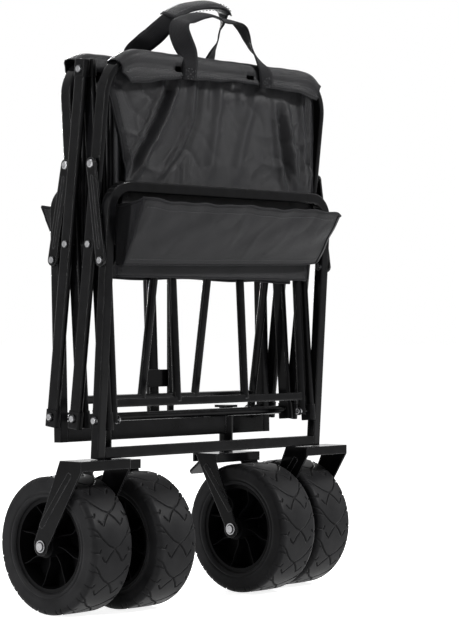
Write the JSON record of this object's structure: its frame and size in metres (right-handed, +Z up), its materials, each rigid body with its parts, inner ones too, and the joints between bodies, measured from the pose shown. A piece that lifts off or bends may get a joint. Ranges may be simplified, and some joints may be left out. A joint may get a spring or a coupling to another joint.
{
  "type": "folding wagon",
  "caption": "Folding fabric wagon stored folded upright on wide wheels, with scissor side bars, floor combs, pockets, carry straps and a telescopic pull handle.",
  "frame": {"origin": "on the floor, under the middle of the bounding box", "axes": "+Z up; +Y towards the front end with the swivel wheels and the pull handle; X across the wagon"},
  "size_m": [0.604, 0.2364, 0.9217],
  "materials": {
    "bars": "satin powder coat",
    "caps": "moulded, fine grain",
    "cloth": "coated woven polyester",
    "fork": "satin powder coat",
    "frame": "satin powder coat",
    "grip": "moulded",
    "links": "satin powder coat",
    "pedal": "moulded",
    "rivets": "zinc plated",
    "steel": "plated",
    "tube": "semi-gloss powder coat",
    "tyre": "moulded, fine grain",
    "webbing": "woven webbing",
    "wheel_centre": "moulded"
  },
  "bodies": {
    "rear_frame": {"rear_frame_hoop": "frame", "rear_bottom_bar": "frame", "rear_fork_left": "fork", "rear_fork_right": "fork", "rear_axles": "steel", "rear_frame_pins": "rivets"},
    "rear_wheel_left": {"rear_tyre_left": "tyre", "rear_rim_left": "wheel_centre"},
    "rear_wheel_right": {"rear_tyre_right": "tyre", "rear_rim_right": "wheel_centre"},
    "rear_bars": {"rear_lift_bars": "bars", "rear_lift_bar_caps": "caps", "rear_bar_pins": "rivets"},
    "rear_rim": {"rear_rim_frame": "bars", "rear_rim_caps": "caps", "rear_rim_pins": "rivets", "base_cross_tube": "frame", "rear_rim_sleeve": "cloth", "rear_carry_strap": "webbing"},
    "front_bars": {"front_lift_bars": "bars", "front_lift_bar_caps": "caps", "front_bar_pins": "rivets"},
    "front_rim": {"front_rim_frame": "bars", "front_rim_caps": "caps", "front_rim_sleeve": "cloth", "front_carry_strap": "webbing", "strap_grip_wrap": "cloth"},
    "front_frame": {"front_frame_hoop": "frame", "front_bottom_bar": "frame", "caster_sockets": "frame", "front_centre_strut": "tube", "handle_brackets": "frame", "handle_fixings": "rivets", "front_frame_pins": "rivets"},
    "rear_links": {"rear_links": "links"},
    "front_links": {"front_links": "links"},
    "rear_floor": {"rear_floor_frame": "frame"},
    "front_floor": {"front_floor_frame": "frame"},
    "rear_floor_sheet": {"rear_floor_cloth": "cloth"},
    "front_floor_sheet": {"front_floor_cloth": "cloth"},
    "rear_wall": {"rear_end_wall": "cloth", "rear_pocket": "cloth", "side_cloths": "cloth"},
    "front_wall": {"front_end_wall": "cloth", "front_pockets": "cloth"},
    "caster_left": {"caster_fork_left": "fork", "caster_hardware_left": "steel"},
    "caster_right": {"caster_fork_right": "fork", "caster_hardware_right": "steel"},
    "brake_left": {"brake_pedal_left": "pedal"},
    "brake_right": {"brake_pedal_right": "pedal"},
    "front_wheel_left": {"front_tyre_left": "tyre", "front_rim_left": "wheel_centre"},
    "front_wheel_right": {"front_tyre_right": "tyre", "front_rim_right": "wheel_centre"},
    "handle": {"handle_outer_tube": "tube"},
    "handle_slide": {"handle_inner_tube": "tube", "handle_grip": "grip"},
    "handle_button": {"handle_button": "grip"}
  },
  "joints": [
    {"name": "fold", "type": "hinge", "parent": "rear_frame", "child": "rear_bars", "pos_m": [0, -0.04532, 0.285], "axis": [-1, 0, 0], "range_deg": [0, 42]},
    {"name": "rear_rim_hinge", "type": "hinge", "parent": "rear_bars", "child": "rear_rim", "pos_m": [0, -0.02739, 0.54137], "axis": [1, 0, 0], "range_deg": [0, 81.21]},
    {"name": "top_hinge", "type": "hinge", "parent": "rear_bars", "child": "front_bars", "pos_m": [0, -0.00947, 0.79775], "axis": [1, 0, 0], "range_deg": [0, 81.21]},
    {"name": "front_rim_hinge", "type": "hinge", "parent": "front_bars", "child": "front_rim", "pos_m": [0, 0.02096, 0.54256], "axis": [-1, 0, 0], "range_deg": [0, 81.21]},
    {"name": "front_frame_hinge", "type": "hinge", "parent": "front_bars", "child": "front_frame", "pos_m": [0, 0.05139, 0.28736], "axis": [-1, 0, 0], "range_deg": [0, 39.21]},
    {"name": "rear_link_hinge", "type": "hinge", "parent": "rear_frame", "child": "rear_links", "pos_m": [0, -0.06113, 0.51695], "axis": [-1, 0, 0], "range_deg": [0, 68.52]},
    {"name": "front_link_hinge", "type": "hinge", "parent": "front_frame", "child": "front_links", "pos_m": [0, 0.05749, 0.52013], "axis": [1, 0, 0], "range_deg": [0, 64.28]},
    {"name": "rear_floor_hinge", "type": "hinge", "parent": "rear_frame", "child": "rear_floor", "pos_m": [0, -0.04532, 0.285], "axis": [-1, 0, 0], "range_deg": [0, 84.51]},
    {"name": "front_floor_hinge", "type": "hinge", "parent": "front_frame", "child": "front_floor", "pos_m": [0, 0.05139, 0.28736], "axis": [1, 0, 0], "range_deg": [0, 79.41]},
    {"name": "rear_sheet_draw", "type": "slide", "parent": "rear_floor", "child": "rear_floor_sheet", "axis": [0, -0.0558, -0.9984], "range_m": [0, 0.10001], "deforming": ["rear_floor_cloth"]},
    {"name": "front_sheet_draw", "type": "slide", "parent": "front_floor", "child": "front_floor_sheet", "axis": [0, 0.1444, -0.9895], "range_m": [0, 0.10001], "deforming": ["front_floor_cloth"]},
    {"name": "rear_wall_drop", "type": "slide", "parent": "rear_frame", "child": "rear_wall", "axis": [0, 0, -1], "range_m": [0, 0.16079]},
    {"name": "front_wall_draw", "type": "slide", "parent": "rear_wall", "child": "front_wall", "axis": [0, 1, 0], "range_m": [0, 0.64278], "deforming": ["side_cloths"]},
    {"name": "caster_swivel_left", "type": "hinge", "parent": "front_frame", "child": "caster_left", "pos_m": [-0.1365, 0.05078, 0.25], "axis": [0, 0, 1], "range_deg": [-5, 180]},
    {"name": "front_wheel_spin_left", "type": "hinge", "parent": "caster_left", "child": "front_wheel_left", "pos_m": [-0.1365, -0.00522, 0.102], "axis": [1, 0, 0], "continuous": true},
    {"name": "brake_hinge_left", "type": "hinge", "parent": "caster_left", "child": "brake_left", "pos_m": [-0.1365, 0.08128, 0.21], "axis": [1, 0, 0], "range_deg": [0, 14]},
    {"name": "rear_wheel_spin_left", "type": "hinge", "parent": "rear_frame", "child": "rear_wheel_left", "pos_m": [-0.2485, 0.01668, 0.102], "axis": [1, 0, 0], "continuous": true},
    {"name": "caster_swivel_right", "type": "hinge", "parent": "front_frame", "child": "caster_right", "pos_m": [0.1365, 0.05078, 0.25], "axis": [0, 0, -1], "range_deg": [-5, 180]},
    {"name": "front_wheel_spin_right", "type": "hinge", "parent": "caster_right", "child": "front_wheel_right", "pos_m": [0.1365, -0.00522, 0.102], "axis": [1, 0, 0], "continuous": true},
    {"name": "brake_hinge_right", "type": "hinge", "parent": "caster_right", "child": "brake_right", "pos_m": [0.1365, 0.08128, 0.21], "axis": [1, 0, 0], "range_deg": [0, 14]},
    {"name": "rear_wheel_spin_right", "type": "hinge", "parent": "rear_frame", "child": "rear_wheel_right", "pos_m": [0.2485, 0.01668, 0.102], "axis": [1, 0, 0], "continuous": true},
    {"name": "handle_swing", "type": "hinge", "parent": "front_frame", "child": "handle", "pos_m": [0, 0.08018, 0.266], "axis": [-1, 0, 0], "range_deg": [0, 100]},
    {"name": "handle_extend", "type": "slide", "parent": "handle", "child": "handle_slide", "axis": [0, 0.0419, 0.9991], "range_m": [0, 0.23]},
    {"name": "handle_button_press", "type": "slide", "parent": "handle_slide", "child": "handle_button", "axis": [0, -0.9991, 0.0419], "range_m": [0, 0.0015], "stiffness_N_per_m": 300}
  ],
  "couplings": [
    {"joint": "rear_rim_hinge", "follows": "fold", "ratio": 1.9333},
    {"joint": "top_hinge", "follows": "fold", "ratio": 1.9333},
    {"joint": "front_rim_hinge", "follows": "fold", "ratio": 1.9333},
    {"joint": "front_frame_hinge", "follows": "fold", "ratio": 0.93333},
    {"joint": "rear_link_hinge", "follows": "fold", "ratio": 1.6311},
    {"joint": "front_link_hinge", "follows": "fold", "ratio": 1.5303},
    {"joint": "rear_floor_hinge", "follows": "fold", "ratio": 2.0119},
    {"joint": "front_floor_hinge", "follows": "fold", "ratio": 1.8905},
    {"joint": "rear_sheet_draw", "follows": "fold", "m_per_rad": 0.13642},
    {"joint": "front_sheet_draw", "follows": "fold", "m_per_rad": 0.13642},
    {"joint": "rear_wall_drop", "follows": "fold", "m_per_rad": 0.21933},
    {"joint": "front_wall_draw", "follows": "fold", "m_per_rad": 0.87686}
  ]
}
